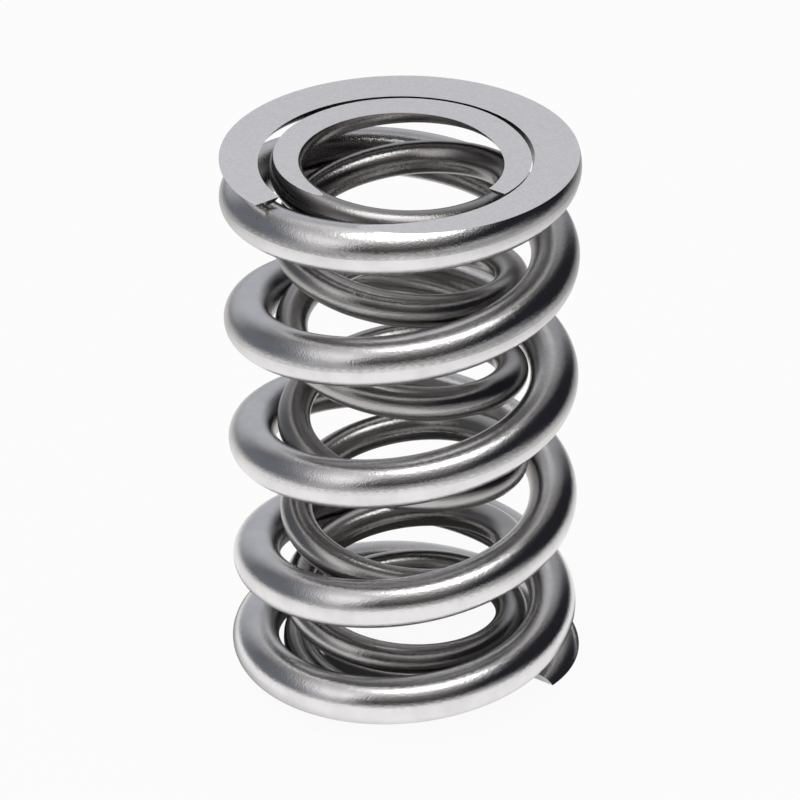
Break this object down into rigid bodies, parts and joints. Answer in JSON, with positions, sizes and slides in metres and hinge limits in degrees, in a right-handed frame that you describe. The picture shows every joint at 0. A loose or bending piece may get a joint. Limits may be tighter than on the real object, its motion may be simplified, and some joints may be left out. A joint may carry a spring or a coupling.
{
  "type": "engine valve spring",
  "caption": "Nested pair of round-wire compression springs for an engine valve, wound in opposite directions, with closed and ground ends.",
  "frame": {"origin": "centre of the lower ground face, on the outer coil's axis", "axes": "+Z along the springs' axis, from the lower ground face to the upper one; +X points to the right of the picture, near the outer coil's lower tip"},
  "size_m": [0.0297, 0.0298, 0.0478],
  "materials": {
    "outer_steel": "polished spring steel with satin ground end faces",
    "inner_steel": "polished spring steel with satin ground end faces"
  },
  "bodies": {
    "root": {"outer_spring": "outer_steel", "inner_spring": "inner_steel"}
  },
  "joints": []
}
